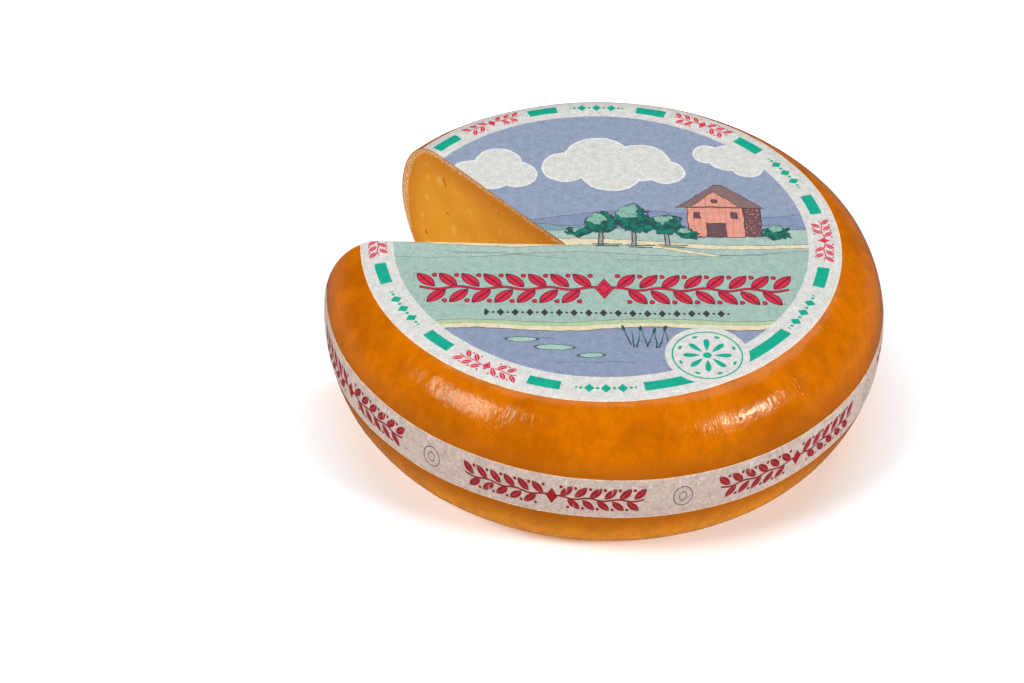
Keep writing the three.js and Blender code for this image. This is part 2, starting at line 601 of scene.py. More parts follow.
def grain(tree, place, size, detail=2.0, roughness=0.5):
    # noise from about 0 to 1, with features of the given size
    node = addNode(tree, "TexNoise", {"Vector": place, "Scale": 1 / size, "Detail": detail,
                                      "Roughness": roughness})
    return node.outputs["Fac"]


def stretched(tree, place, scale, turn=(0, 0, 0), move=(0, 0, 0)):
    return addNode(tree, "Mapping", {"Vector": place, "Scale": scale, "Rotation": turn,
                                     "Location": move}).outputs[0]


def tone(red, green, blue):
    # screen values to the shader's own
    return tuple((c / 255 / 12.92) if c < 10 else ((c / 255 + 0.055) / 1.055) ** 2.4
                 for c in (red, green, blue)) + (1.0,)


def makeGroup(name, inputs, outputs):
    group = bpy.data.node_groups.new(name, "ShaderNodeTree")
    for label, kind, value in inputs:
        socket = group.interface.new_socket(label, in_out="INPUT", socket_type="NodeSocket" + kind)
        socket.default_value = value
    for label, kind in outputs:
        group.interface.new_socket(label, in_out="OUTPUT", socket_type="NodeSocket" + kind)
    given = group.nodes.new("NodeGroupInput").outputs
    result = group.nodes.new("NodeGroupOutput").inputs
    return group, given, result


def place(tree, group, values):
    node = tree.nodes.new("ShaderNodeGroup")
    node.node_tree = group
    for name, value in values.items():
        feed(tree, value, node.inputs[name])
    return node.outputs


def wheelCoordinates():
    # the wheel's own measures in millimetres: place, distance from the axis, angle and girth
    group, given, result = makeGroup("wheelCoordinates", [], [
        ("Place", "Vector"), ("X", "Float"), ("Y", "Float"), ("Height", "Float"),
        ("Radius", "Float"), ("Turn", "Float"), ("Wrapped", "Vector")])
    found = addNode(group, "TexCoord").outputs["Object"]
    inMm = enlarge(group, found, 1 / mm)
    x, y, z = split(group, inMm)
    squares = calc(group, "ADD", calc(group, "MULTIPLY", x, x), calc(group, "MULTIPLY", y, y))
    radius = calc(group, "SQRT", squares)
    turn = calc(group, "ARCTAN2", y, x)
    girth = calc(group, "MULTIPLY", turn, wheel["radius"])
    for name, value in (("Place", inMm), ("X", x), ("Y", y), ("Height", z), ("Radius", radius),
                        ("Turn", turn), ("Wrapped", join(group, girth, radius, z))):
        feed(group, value, result[name])
    return group


coat = {
    "colour": tone(199, 105, 0),
    "deep": tone(178, 90, 0),  # thicker patches
    "grain": tone(146, 78, 0),  # fine mottling
    "pale": tone(197, 106, 1),  # rubbed, thinner patches
    "side": tone(156, 80, 0),  # painted shade, darker round the side
    "paintedFloorLight": tone(238, 150, 22),  # painted light from the floor, lighter again near the underside
    "shine": (1.0, 0.92, 0.7, 1.0),
    "roughness": 0.13,
    "cloth": 0.06,  # height of the fine upright lines the mould's cloth left, in mm
    "crinkle": 0.3,  # heights of the finer and the wider unevenness and of the dents, in mm
    "swell": 0.6,
    "dents": 0.4,
    "patchSize": 34,  # of the thicker patches, mm, and so on
    "streakSize": 5,
    "mottleSize": 8,
    "fineSize": 2.0,
    "speckSpacing": 7.0,
    "dentSpacing": 9.0,
    "streakAmount": 0.5,
    "mottleAmount": 0.36,
    "fineAmount": 0.2,
    "paintedSideShadeFade": (94, 70, 0.85),  # heights between which the painted shade on the side sets in, and how much of it
    # heights between which the painted floor light near the underside sets in, and how much of it
    "paintedFloorLightFade": (48, 14, 0.95),
}


def makeCoatMaterial(coordinates):
    material, tree, shader = newMaterial("waxedCoat")
    at = place(tree, coordinates, {})
    clouds = grain(tree, at["Place"], coat["patchSize"], 3, 0.6)
    streaks = grain(tree, stretched(tree, at["Wrapped"], (1, 0.2, 0.16)), coat["streakSize"], 2, 0.6)
    mottle = grain(tree, stretched(tree, at["Wrapped"], (1, 0.7, 0.7)), coat["mottleSize"], 4, 0.72)
    fine = grain(tree, at["Place"], coat["fineSize"], 3, 0.7)
    colour = blend(tree, ramp(tree, clouds, 0.42, 0.7), coat["colour"], coat["deep"])
    colour = blend(tree, ramp(tree, streaks, 0.55, 0.8, 0, coat["streakAmount"]), colour, coat["pale"])
    # painted shade down the side, then painted light from the floor near the underside
    for fade, shade in (("paintedSideShadeFade", "side"), ("paintedFloorLightFade", "paintedFloorLight")):
        high, low, amount = coat[fade]
        colour = blend(tree, ramp(tree, at["Height"], high, low, 0, amount), colour, coat[shade])
    colour = blend(tree, ramp(tree, mottle, 0.4, 0.66, 0, coat["mottleAmount"]), colour, coat["grain"])
    colour = blend(tree, ramp(tree, fine, 0.45, 0.7, 0, coat["fineAmount"]), colour, coat["grain"])
    specks = addNode(tree, "TexVoronoi", {"Vector": at["Place"], "Scale": 1 / coat["speckSpacing"]})
    dots = ramp(tree, specks.outputs["Distance"], 0.10, 0.03, 0, 0.4)
    colour = blend(tree, dots, colour, coat["deep"])
    feed(tree, colour, shader.inputs["Base Color"])

    cloth = grain(tree, stretched(tree, at["Wrapped"], (1, 0.1, 0.07)), 1.5, 1, 0.5)
    crinkle = grain(tree, stretched(tree, at["Wrapped"], (1, 0.75, 0.75)), 3.6, 3, 0.62)
    swell = grain(tree, at["Place"], 13, 1)
    dents = addNode(tree, "TexVoronoi", {"Vector": at["Place"], "Scale": 1 / coat["dentSpacing"]})
    clusters = ramp(tree, grain(tree, at["Place"], 26, 1), 0.55, 0.66)
    hollow = calc(tree, "MULTIPLY", ramp(tree, dents.outputs["Distance"], 0.0, 0.22, -1, 0), clusters)
    height = calc(tree, "MULTIPLY", cloth, coat["cloth"])
    height = calc(tree, "MULTIPLY_ADD", crinkle, coat["crinkle"], height)
    height = calc(tree, "MULTIPLY_ADD", swell, coat["swell"], height)
    height = calc(tree, "MULTIPLY_ADD", hollow, coat["dents"], height)
    smoothed = calc(tree, "MULTIPLY", height, ramp(tree, at["Height"], 12, 48, 0.25, 1))
    emboss(tree, shader, smoothed, mm)
    roughness = ramp(tree, fine, 0.3, 0.8, coat["roughness"] - 0.03, coat["roughness"] + 0.06)
    feed(tree, roughness, shader.inputs["Roughness"])
    shader.inputs["Specular IOR Level"].default_value = 0.25
    shader.inputs["Specular Tint"].default_value = coat["shine"]
    return material


paste = {
    "coatLine": tone(176, 96, 10),  # the coat seen edge-on
    "rind": tone(228, 182, 124),
    "rindDark": tone(164, 106, 40),
    "amber": tone(197, 120, 4),  # dried paste under the rind
    "heart": tone(217, 150, 26),
    "spots": tone(222, 168, 74),
    "crystals": tone(235, 204, 140),
    "rindDepth": (3.6, 7.0),  # at the faces and at the side
    "amberDepth": 13,
}


def rindDepth(tree, at):
    # how deep under the skin a place on the cut lies, in mm
    above = calc(tree, "GREATER_THAN", at["Height"], wheel["widestHeight"])
    tall = calc(tree, "MULTIPLY_ADD", above, wheel["height"] - 2 * wheel["widestHeight"],
                wheel["widestHeight"])
    across = wheel["radius"] - wheel["topFlatRadius"]
    power = wheel["topRoundness"]
    share = calc(tree, "DIVIDE", calc(tree, "SUBTRACT", at["Radius"], wheel["topFlatRadius"]), across)
    outer = calc(tree, "POWER", calc(tree, "MAXIMUM", share, 0.0), power)
    rise = calc(tree, "ABSOLUTE", calc(tree, "SUBTRACT", at["Height"], wheel["widestHeight"]))
    upper = calc(tree, "POWER", calc(tree, "DIVIDE", rise, tall), power)
    total = calc(tree, "MAXIMUM", calc(tree, "ADD", outer, upper), 0.0001)
    sideShare = calc(tree, "DIVIDE", outer, total)
    scale = calc(tree, "MULTIPLY_ADD", sideShare, calc(tree, "SUBTRACT", across, tall), tall)
    inwards = calc(tree, "SUBTRACT", 1.0, calc(tree, "POWER", total, 1 / power))
    return calc(tree, "MULTIPLY", inwards, scale), sideShare


def makePasteMaterial(coordinates):
    material, tree, shader = newMaterial("cheesePaste")
    at = place(tree, coordinates, {})
    depth, sideShare = rindDepth(tree, at)
    flatRind, sideRind = paste["rindDepth"]
    edge = calc(tree, "MULTIPLY_ADD", sideShare, sideRind - flatRind, flatRind)
    ragged = calc(tree, "MULTIPLY_ADD", grain(tree, at["Place"], 3.2, 3, 0.7), 4.5, -2.2)
    depthInRind = calc(tree, "DIVIDE", calc(tree, "ADD", depth, ragged), edge)
    crumbs = grain(tree, at["Place"], 0.9, 3, 0.7)

    # heart of the paste, with pale spots, then the amber zone, then the dry rind over it
    cloud = grain(tree, at["Place"], 30, 2)
    spotNoise = addNode(tree, "TexVoronoi", {"Vector": at["Place"], "Scale": 1 / 10.0},
                        feature="SMOOTH_F1")
    spots = ramp(tree, spotNoise.outputs["Distance"], 0.36, 0.1, 0, 0.6)
    colour = blend(tree, ramp(tree, cloud, 0.35, 0.65, 0, 0.35), paste["heart"], paste["amber"])
    colour = blend(tree, spots, colour, paste["spots"])
    amber = ramp(tree, depth, paste["amberDepth"] * 1.7, paste["amberDepth"] * 0.6, 0, 0.9)
    colour = blend(tree, amber, colour, paste["amber"])
    row = ramp(tree, calc(tree, "ABSOLUTE", calc(tree, "SUBTRACT", depth, 11.0)), 1.6, 0.4)
    dotted = ramp(tree, grain(tree, at["Place"], 1.6, 1), 0.55, 0.66, 0, 0.6)
    colour = blend(tree, calc(tree, "MULTIPLY", row, dotted), colour, paste["spots"])
    rindColour = blend(tree, ramp(tree, crumbs, 0.4, 0.62), paste["rind"], paste["rindDark"])
    rindMask = ramp(tree, depthInRind, 1.1, 0.85)
    colour = blend(tree, rindMask, colour, rindColour)
    crystalNoise = addNode(tree, "TexVoronoi", {"Vector": at["Place"], "Scale": 1 / 11.0})
    picked = addNode(tree, "SeparateColor", {"Color": crystalNoise.outputs["Color"]}).outputs[0]
    crystals = calc(tree, "MULTIPLY", ramp(tree, crystalNoise.outputs["Distance"], 0.075, 0.045),
                    calc(tree, "GREATER_THAN", picked, 0.55))
    colour = blend(tree, crystals, colour, paste["crystals"])
    colour = blend(tree, ramp(tree, depth, 0.75, 0.45), colour, paste["coatLine"])
    feed(tree, colour, shader.inputs["Base Color"])

    height = calc(tree, "MULTIPLY", crumbs, ramp(tree, rindMask, 0, 1, 0.05, 0.4))
    height = calc(tree, "MULTIPLY_ADD", grain(tree, at["Place"], 2.2, 2), 0.12, height)
    emboss(tree, shader, height, mm)
    feed(tree, ramp(tree, rindMask, 0, 1, 0.42, 0.75), shader.inputs["Roughness"])
    shader.inputs["Specular IOR Level"].default_value = 0.15
    shader.inputs["Subsurface Weight"].default_value = 0.15
    shader.inputs["Subsurface Radius"].default_value = (1.0, 0.45, 0.1)
    shader.inputs["Subsurface Scale"].default_value = 0.004
    return material


def turnedBack(tree, given):
    # a shape's own place; few Mapping nodes keep the label's material small enough to render
    moved = vectorCalc(tree, "SUBTRACT", given["Place"], given["Centre"])
    return addNode(tree, "VectorRotate", {"Vector": moved, "Angle": given["Turn"]},
                   rotation_type="Z_AXIS", invert=True).outputs[0]


def printGroups():
    groups = {}

    # every shape's distance is negative inside and in mm; this one is an ellipse
    tree, given, result = makeGroup("discShape", [
        ("Place", "Vector", (0, 0, 0)), ("Centre", "Vector", (0, 0, 0)), ("Half Size", "Vector", (1, 1, 1)),
        ("Turn", "Float", 0.0)], [("Distance", "Float")])
    local = turnedBack(tree, given)
    length = lengthOf(tree, vectorCalc(tree, "DIVIDE", local, given["Half Size"]))
    half = split(tree, given["Half Size"])
    small = calc(tree, "MINIMUM", half[0], half[1])
    feed(tree, calc(tree, "MULTIPLY", calc(tree, "SUBTRACT", length, 1.0), small), result["Distance"])
    groups["disc"] = tree

    # a board with straight edges: narrower towards its top by the taper, towards both ends by the point
    tree, given, result = makeGroup("plateShape", [
        ("Place", "Vector", (0, 0, 0)), ("Centre", "Vector", (0, 0, 0)), ("Half Size", "Vector", (1, 1, 1)),
        ("Turn", "Float", 0.0), ("Taper", "Float", 0.0), ("Point", "Float", 0.0)], [("Distance", "Float")])
    local = turnedBack(tree, given)
    u, v, _ = split(tree, local)
    half = split(tree, given["Half Size"])
    width = calc(tree, "SUBTRACT", half[0],
                 calc(tree, "MULTIPLY", given["Taper"], calc(tree, "ADD", v, half[1])))
    width = calc(tree, "SUBTRACT", width, calc(tree, "MULTIPLY", given["Point"], calc(tree, "ABSOLUTE", v)))
    side = calc(tree, "SUBTRACT", calc(tree, "ABSOLUTE", u), width)
    end = calc(tree, "SUBTRACT", calc(tree, "ABSOLUTE", v), half[1])
    feed(tree, calc(tree, "MAXIMUM", side, end), result["Distance"])
    groups["plate"] = tree

    # height above a gently waving line
    tree, given, result = makeGroup("waveShape", [
        ("Place", "Vector", (0, 0, 0)), ("Middle", "Float", 0.0), ("Slope", "Float", 0.0),
        ("Wave", "Float", 1.0), ("Length", "Float", 100.0), ("Shift", "Float", 0.0)], [("Distance", "Float")])
    u, v, _ = split(tree, given["Place"])
    phase = calc(tree, "MULTIPLY", calc(tree, "DIVIDE", calc(tree, "ADD", u, given["Shift"]),
                                        given["Length"]), 2 * math.pi)
    line = calc(tree, "MULTIPLY_ADD", calc(tree, "SINE", phase), given["Wave"], given["Middle"])
    line = calc(tree, "MULTIPLY_ADD", u, given["Slope"], line)
    feed(tree, calc(tree, "SUBTRACT", v, line), result["Distance"])
    groups["wave"] = tree

    # a garland: leaves that lean away from a lozenge in its middle, on a wavy stem, with berries
    tree, given, result = makeGroup("garlandShape", [
        ("Place", "Vector", (0, 0, 0)), ("Unit", "Float", 1.0), ("Leaves", "Float", 6.0)],
        [("Distance", "Float")])
    pitch, start = 11.0, 5.5  # from leaf to leaf, and where the first begins
    lean, leafHalf, leafBulge = 0.86, 6.6, 2.9
    scaled = enlarge(tree, given["Place"], calc(tree, "DIVIDE", 1.0, given["Unit"]))
    u, v, _ = split(tree, scaled)
    u = calc(tree, "ABSOLUTE", u)
    lower = calc(tree, "LESS_THAN", v, 0.0)
    swing = calc(tree, "SINE", calc(tree, "MULTIPLY", u, math.pi / pitch))
    stem = calc(tree, "SUBTRACT", calc(tree, "ABSOLUTE", calc(tree, "SUBTRACT", v, swing)), 0.7)
    v = calc(tree, "ABSOLUTE", v)
    local = calc(tree, "SUBTRACT", u, calc(tree, "MULTIPLY_ADD", lower, pitch / 2, start))
    inCell = calc(tree, "MULTIPLY", calc(tree, "FRACT", calc(tree, "DIVIDE", local, pitch)), pitch)
    cell = join(tree, inCell, v)
    leafPlace = addNode(tree, "Mapping", {"Vector": cell, "Location": (5.4, 6.0, 0),
                                          "Rotation": (0, 0, lean)}, vector_type="TEXTURE").outputs[0]
    along, across, _ = split(tree, leafPlace)
    across = calc(tree, "ABSOLUTE", across)
    arc = (leafHalf**2 + leafBulge**2) / (2 * leafBulge)
    shifted = join(tree, along, calc(tree, "ADD", across, arc - leafBulge))
    leaf = calc(tree, "SUBTRACT", lengthOf(tree, shifted), arc)
    leaf = calc(tree, "MAXIMUM", leaf, calc(tree, "SUBTRACT", 0.22, across))
    berry = place(tree, groups["disc"], {"Place": cell, "Centre": (1.1, 9.7, 0),
                                         "Half Size": (1.25, 1.25, 1)})[0]
    growth = calc(tree, "MINIMUM", leaf, berry)
    count = calc(tree, "MULTIPLY", calc(tree, "SUBTRACT", given["Leaves"], lower), pitch)
    ends = calc(tree, "MAXIMUM", calc(tree, "MULTIPLY", local, -1.0), calc(tree, "SUBTRACT", local, count))
    growth = calc(tree, "MAXIMUM", growth, ends)
    stemEnd = calc(tree, "SUBTRACT", u, calc(tree, "MULTIPLY_ADD", given["Leaves"], pitch, start - 3))
    stem = calc(tree, "MAXIMUM", stem, stemEnd)
    middle = place(tree, groups["plate"], {"Place": scaled, "Centre": (0, 0, 0), "Half Size": (4.4, 7.4, 1),
                                           "Point": 4.4 / 7.4})[0]
    hollow = calc(tree, "MULTIPLY_ADD", middle, -1.0, -1.7)
    middle = calc(tree, "MAXIMUM", middle, calc(tree, "SUBTRACT", 0.0, calc(tree, "ABSOLUTE", hollow)))
    whole = calc(tree, "MINIMUM", calc(tree, "MINIMUM", stem, growth), middle)
    feed(tree, calc(tree, "MULTIPLY", whole, given["Unit"]), result["Distance"])
    groups["garland"] = tree

    # lays a printed colour with a drawn outline over what is under it
    tree, given, result = makeGroup("printLayer", [
        ("Under", "Color", (1, 1, 1, 1)), ("Distance", "Float", 0.0), ("Fill", "Color", (1, 1, 1, 1)),
        ("Ink", "Color", (0, 0, 0, 1)), ("Ink Width", "Float", 0.0)], [("Colour", "Color")])
    soft = 0.3  # width over which a printed edge blurs, mm
    fill = calc(tree, "MULTIPLY_ADD", given["Distance"], -1 / soft, 0.5, clamp=True)
    line = calc(tree, "SUBTRACT", calc(tree, "ABSOLUTE", given["Distance"]),
                calc(tree, "MULTIPLY", given["Ink Width"], 0.5))
    ink = calc(tree, "MULTIPLY_ADD", line, -1 / soft, 0.5, clamp=True)
    drawn = calc(tree, "MULTIPLY", ink, calc(tree, "GREATER_THAN", given["Ink Width"], 0.01))
    colour = blend(tree, fill, given["Under"], given["Fill"])
    feed(tree, blend(tree, drawn, colour, given["Ink"]), result["Colour"])
    groups["layer"] = tree

    # soft printing paper: cloudy fibres, fine grain, faint scratches and their height
    tree, given, result = makeGroup("paperFibre", [
        ("Place", "Vector", (0, 0, 0)), ("Mottle", "Float", 0.1), ("Scratches", "Float", 0.1)],
        [("Shade", "Float"), ("Height", "Float")])
    clouds = grain(tree, given["Place"], 5, 4, 0.7)
    fine = grain(tree, given["Place"], 1.1, 3, 0.7)
    both = calc(tree, "MULTIPLY_ADD", fine, 0.6, calc(tree, "MULTIPLY", clouds, 0.4))
    shade = calc(tree, "MULTIPLY_ADD", calc(tree, "SUBTRACT", both, 0.5), given["Mottle"], 1.0)
    for turn, move in ((0.5, 3.0), (2.2, 40.0)):
        lines = grain(tree, stretched(tree, given["Place"], (1, 0.02, 1), (0, 0, turn), (move, 0, 0)),
                      1.6, 1)
        patches = grain(tree, stretched(tree, given["Place"], (1, 1, 1), move=(move, move, 0)), 30, 1)
        scratch = calc(tree, "MULTIPLY", ramp(tree, lines, 0.68, 0.78), ramp(tree, patches, 0.45, 0.6))
        shade = calc(tree, "MULTIPLY_ADD", scratch, given["Scratches"], shade)
    feed(tree, shade, result["Shade"])
    feed(tree, both, result["Height"])
    groups["fibre"] = tree
    return groups


label = {
    "pictureRadius": 131.5,
    "ringMiddle": 142,
    "paperBrightness": 0.8,  # scales every printed colour
    "wobble": 0.5,  # unsteadiness of the drawn lines, mm
    "raggedness": 11,  # and of the leaves
    "paper": tone(217, 216, 213),
    "edge": tone(238, 218, 194),
    "ink": tone(62, 58, 66),
    "green": tone(0, 168, 140),
    "crimson": tone(214, 40, 70),
    "crimsonInk": tone(120, 16, 44),
    "sky": tone(147, 160, 184),
    "cloud": tone(217, 216, 212),
    "cloudEdge": tone(232, 232, 230),
    "hills": [((24, 0.02, 5, 150, 20), tone(134, 148, 180)), ((15, -0.03, 3, 90, 0), tone(128, 158, 172))],
    "meadow": tone(169, 193, 185),
    "nearMeadow": tone(161, 188, 178),
    "path": tone(228, 215, 182),
    "bank": tone(178, 198, 160),
    "water": tone(140, 152, 178),
    "pad": tone(160, 200, 186),
    "wall": tone(228, 156, 138),
    "wallShade": tone(196, 122, 108),
    "door": tone(110, 80, 84),
    "roof": tone(136, 108, 108),
    "leafDark": tone(34, 84, 80),
    "leafMiddle": tone(20, 124, 104),
    "leafLight": tone(138, 182, 166),
    "leafShade": tone(100, 158, 144),
    "bark": tone(156, 154, 152),
    "seal": (61.5, -111, 25.5),  # its centre and radius
    # middle, slope, swing, length and shift of the lines that part the picture
    "meadowLine": (9, 0, 1.5, 120, 10),
    "trackLine": (-5, -0.02, 1.5, 140, 30),
    "nearMeadowLine": (-16, 0.02, 2.5, 160, 60),
    "bankLine": (-80, 0.02, 1.6, 110, 0),
    "shoreLine": (-84, 0.02, 1.6, 110, 0),
    "waterLine": (-88, 0.02, 1.8, 110, 0),
    # such lines again, with where each starts and ends
    "furrows": [((-12, 0.03, 1, 60, 0), -100, -58), ((-20, -0.05, 1.5, 90, 0), -96, -20),
                ((-23, 0.05, 1, 70, 9), 10, 66), ((-17, 0.02, 1, 50, 0), 74, 120),
                ((2, 0, 1, 40, 0), 62, 118)],
    "ripples": [((-97, 0, 0.6, 22, 0), -62, -30), ((-118, 0, 0.6, 20, 0), -30, 18),
                ((-100, 0, 0.6, 24, 5), 22, 52)],
    "barn": 74,  # the middle of its gable along X
    # centre and radius of each puff of the three clouds
    "clouds": [(-22, 74, 15), (0, 84, 22), (28, 80, 19), (8, 70, 20), (44, 70, 12), (-66, 78, 15),
               (-84, 68, 12), (-54, 66, 13), (-70, 64, 13), (86, 86, 13), (72, 90, 9), (98, 76, 10)],
    # place, half height and lean of each reed
    "reeds": [(14, -95, 8, 0.3), (17, -94, 11, 0.1), (21, -96, 9, -0.15), (24, -94, 10, 0.2),
              (28, -97, 8, -0.3), (31, -94, 11, 0.05), (35, -96, 9, -0.25), (38, -95, 8, 0.15)],
    # place and half size of each floating leaf
    "pads": [(-50, -98, 10, 2.2), (-30, -105, 12, 2.6), (-8, -112, 8, 2)],
    # place and half height of each trunk
    "trunks": [(0, 2, 8), (21, 3, 10), (42, 1, 8)],
    # centre and half size of each clump of leaves, in the shade and in the sun
    "crown": [(0, 16, 10, 11), (20, 21, 11, 14), (24, 15, 10, 9), (42, 15, 10, 11)],
    "crownTop": [(-2, 21, 6, 5), (18, 28, 7, 6), (40, 20, 6, 5)],
    "bushes": [(-14, 7, 8, 5), (56, 5, 8, 5), (112, 7, 9, 7)],
    "bushTops": [(-15, 10, 4, 2), (54, 8, 4, 2), (111, 11, 5, 3)],
}


def makeLabelMaterial(coordinates, groups):
    material, tree, shader = newMaterial("printedLabel")
    at = place(tree, coordinates, {})
    flat = join(tree, calc(tree, "SUBTRACT", at["X"], float(labelCentre[0])),
                calc(tree, "SUBTRACT", at["Y"], float(labelCentre[1])))
    unsteady = addNode(tree, "TexNoise", {"Vector": flat, "Scale": 1 / 8, "Detail": 1.0}).outputs["Color"]
    offset = vectorCalc(tree, "SUBTRACT", unsteady, (0.5, 0.5, 0.5))
    offset = vectorCalc(tree, "MULTIPLY", offset, (label["wobble"] * 4,) * 2 + (0,))
    drawn = vectorCalc(tree, "ADD", flat, offset)
    x = split(tree, drawn)[0]

    def disc(centre, half, turn=0.0, where=drawn):
        return place(tree, groups["disc"], {"Place": where, "Centre": (*centre, 0), "Half Size": (*half, 1),
                                            "Turn": turn})[0]

    def plate(centre, half, taper=0.0, turn=0.0, point=0.0, where=drawn):
        return place(tree, groups["plate"], {"Place": where, "Centre": (*centre, 0), "Half Size": (*half, 1),
                                             "Turn": turn, "Taper": taper, "Point": point})[0]

    def wave(middle, slope, swing, length, shift, where=drawn):
        return place(tree, groups["wave"], {"Place": where, "Middle": middle, "Slope": slope, "Wave": swing,
                                            "Length": length, "Shift": shift})[0]

    def union(shapes):
        whole = shapes[0]
        for shape in shapes[1:]:
            whole = calc(tree, "MINIMUM", whole, shape)
        return whole

    def strip(shape, half):
        return calc(tree, "SUBTRACT", calc(tree, "ABSOLUTE", shape), half)

    def between(shape, low, high):
        # keeps a shape only between two places along X
        middle, half = (low + high) / 2, (high - low) / 2
        beyond = calc(tree, "SUBTRACT", calc(tree, "ABSOLUTE", calc(tree, "SUBTRACT", x, middle)), half)
        return calc(tree, "MAXIMUM", shape, beyond)

    def paint(under, shape, fill, inkWidth=0.0, ink=label["ink"]):
        return place(tree, groups["layer"], {"Under": under, "Distance": shape, "Fill": fill,
                                             "Ink": ink, "Ink Width": inkWidth})[0]

    # sky, clouds, hills
    colour = paint(label["sky"], union([disc((a, b), (r, r)) for a, b, r in label["clouds"]]),
                   label["cloud"], 1.4, label["cloudEdge"])
    for shape, fill in label["hills"]:
        colour = paint(colour, wave(*shape), fill, 0.35)
    # fields, the track across them, furrows
    colour = paint(colour, wave(*label["meadowLine"]), label["meadow"], 0.4)
    track = strip(wave(*label["trackLine"]), ramp(tree, x, -110, 110, 4.2, 2.0))
    colour = paint(colour, track, label["path"], 0.35)
    colour = paint(colour, plate((60, -14), (40, 1.3), turn=-0.22), label["path"], 0.3)
    colour = paint(colour, wave(*label["nearMeadowLine"]), label["nearMeadow"], 0.3)
    furrows = union([between(strip(wave(*line), 0.12), low, high) for line, low, high in label["furrows"]])
    colour = paint(colour, furrows, label["ink"])

    # plain barn: a sunny gable wall, a side in the shade, a roof
    boards = ramp(tree, calc(tree, "SINE", calc(tree, "MULTIPLY", x, 1.5)), 0.86, 0.98, 0, 0.7)
    wall = blend(tree, boards, label["wall"], label["wallShade"])
    hatch = ramp(tree, grain(tree, drawn, 2.2, 2, 0.6), 0.56, 0.62)
    shaded = blend(tree, hatch, label["door"], label["wallShade"])
    gable = label["barn"]
    colour = paint(colour, plate((gable + 23, 18), (6, 15)), shaded, 0.6)
    colour = paint(colour, plate((gable, 18), (18, 16)), wall, 0.6)
    colour = paint(colour, plate((gable + 3, 44), (28, 12), taper=1.05), label["roof"], 0.6)
    colour = paint(colour, plate((gable, 41), (15.5, 8), taper=0.97), wall, 0.4)
    openings = union([plate((gable, 9), (6, 7)), plate((gable - 12, 24), (2, 3)),
                      plate((gable + 12, 24), (2, 3)), disc((gable, 39), (2.2, 2.2))])
    colour = paint(colour, openings, label["door"], 0.5)

    # leaves: clumps in the shade with lighter ones in the sun on them, and the trunks under the crowns
    ragged = addNode(tree, "TexNoise", {"Vector": flat, "Scale": 1 / 5, "Detail": 2.0}).outputs["Color"]
    ragged = vectorCalc(tree, "MULTIPLY_ADD", ragged, (label["raggedness"],) * 2 + (0,), flat)
    ragged = vectorCalc(tree, "SUBTRACT", ragged, (label["raggedness"] / 2,) * 2 + (0,))

    def clumps(name):
        return union([disc((a, b), (r, s), where=ragged) for a, b, r, s in label[name]])

    dabs = grain(tree, drawn, 4.5, 3, 0.65)
    shade = blend(tree, ramp(tree, dabs, 0.49, 0.54), label["leafDark"], label["leafMiddle"])
    sunny = blend(tree, ramp(tree, dabs, 0.56, 0.6), label["leafLight"], label["leafShade"])
    colour = paint(colour, clumps("bushes"), shade, 0.5)
    colour = paint(colour, clumps("bushTops"), sunny, 0.3)
    shadow = union([plate((a + 4, b - h + shift), (9 + shift, 0.45)) for a, b, h in label["trunks"]
                    for shift in (0.4, -1.4)])
    colour = paint(colour, shadow, label["leafDark"])
    trunks = union([plate((a, b), (1.6, h), taper=0.03) for a, b, h in label["trunks"]])
    colour = paint(colour, trunks, label["bark"], 0.8)
    colour = paint(colour, clumps("crown"), shade, 0.6)
    colour = paint(colour, clumps("crownTop"), sunny, 0.4)

    # bank, water, pads and reeds
    colour = paint(colour, wave(*label["bankLine"]), label["bank"], 0.3)
    colour = paint(colour, wave(*label["shoreLine"]), label["path"])
    colour = paint(colour, wave(*label["waterLine"]), label["water"], 0.5)
    ripples = union([between(strip(wave(*line), 0.15), low, high) for line, low, high in label["ripples"]])
    colour = paint(colour, ripples, label["leafDark"])
    pads = union([disc((a, b), (r, s)) for a, b, r, s in label["pads"]])
    colour = paint(colour, pads, label["pad"], 0.4)
    reeds = union([plate((a, b), (0.6, h), taper=0.03, turn=t) for a, b, h, t in label["reeds"]])
    heads = union([disc((a - h * t, b + h), (1.1, 2.6), t) for a, b, h, t in label["reeds"][::2]])
    colour = paint(colour, calc(tree, "MINIMUM", reeds, heads), label["leafDark"])

    # crimson garland across the middle, with a small row of lozenges under it
    lower = vectorCalc(tree, "ADD", flat, (-1, 50, 0))
    garland = place(tree, groups["garland"], {"Place": lower, "Unit": 1.26, "Leaves": 8.0})[0]
    colour = paint(colour, garland, label["crimson"], 0.7, label["crimsonInk"])
    flatX, flatY, _ = split(tree, flat)
    cell = calc(tree, "PINGPONG", flatX, 4.5)
    small = join(tree, cell, calc(tree, "ADD", flatY, 73.0))
    row = union([plate((0, 0), (2.4, 3.4), point=0.7, where=small), disc((4.5, 0), (0.9, 0.9), where=small)])
    ends = calc(tree, "SUBTRACT", calc(tree, "ABSOLUTE", calc(tree, "SUBTRACT", flatX, 3.0)), 76.0)
    colour = paint(colour, calc(tree, "MAXIMUM", row, ends), label["ink"])

    # the paper ring round the picture, with its ornaments
    radius = lengthOf(tree, flat)
    ring = calc(tree, "SUBTRACT", label["pictureRadius"], radius)
    colour = paint(colour, ring, label["paper"])
    turn = calc(tree, "ARCTAN2", flatY, flatX)

    def ringPlace(shift, period):
        height = calc(tree, "SUBTRACT", radius, label["ringMiddle"])
        return wrapPlace(tree, turn, shift, period, label["ringMiddle"], height)

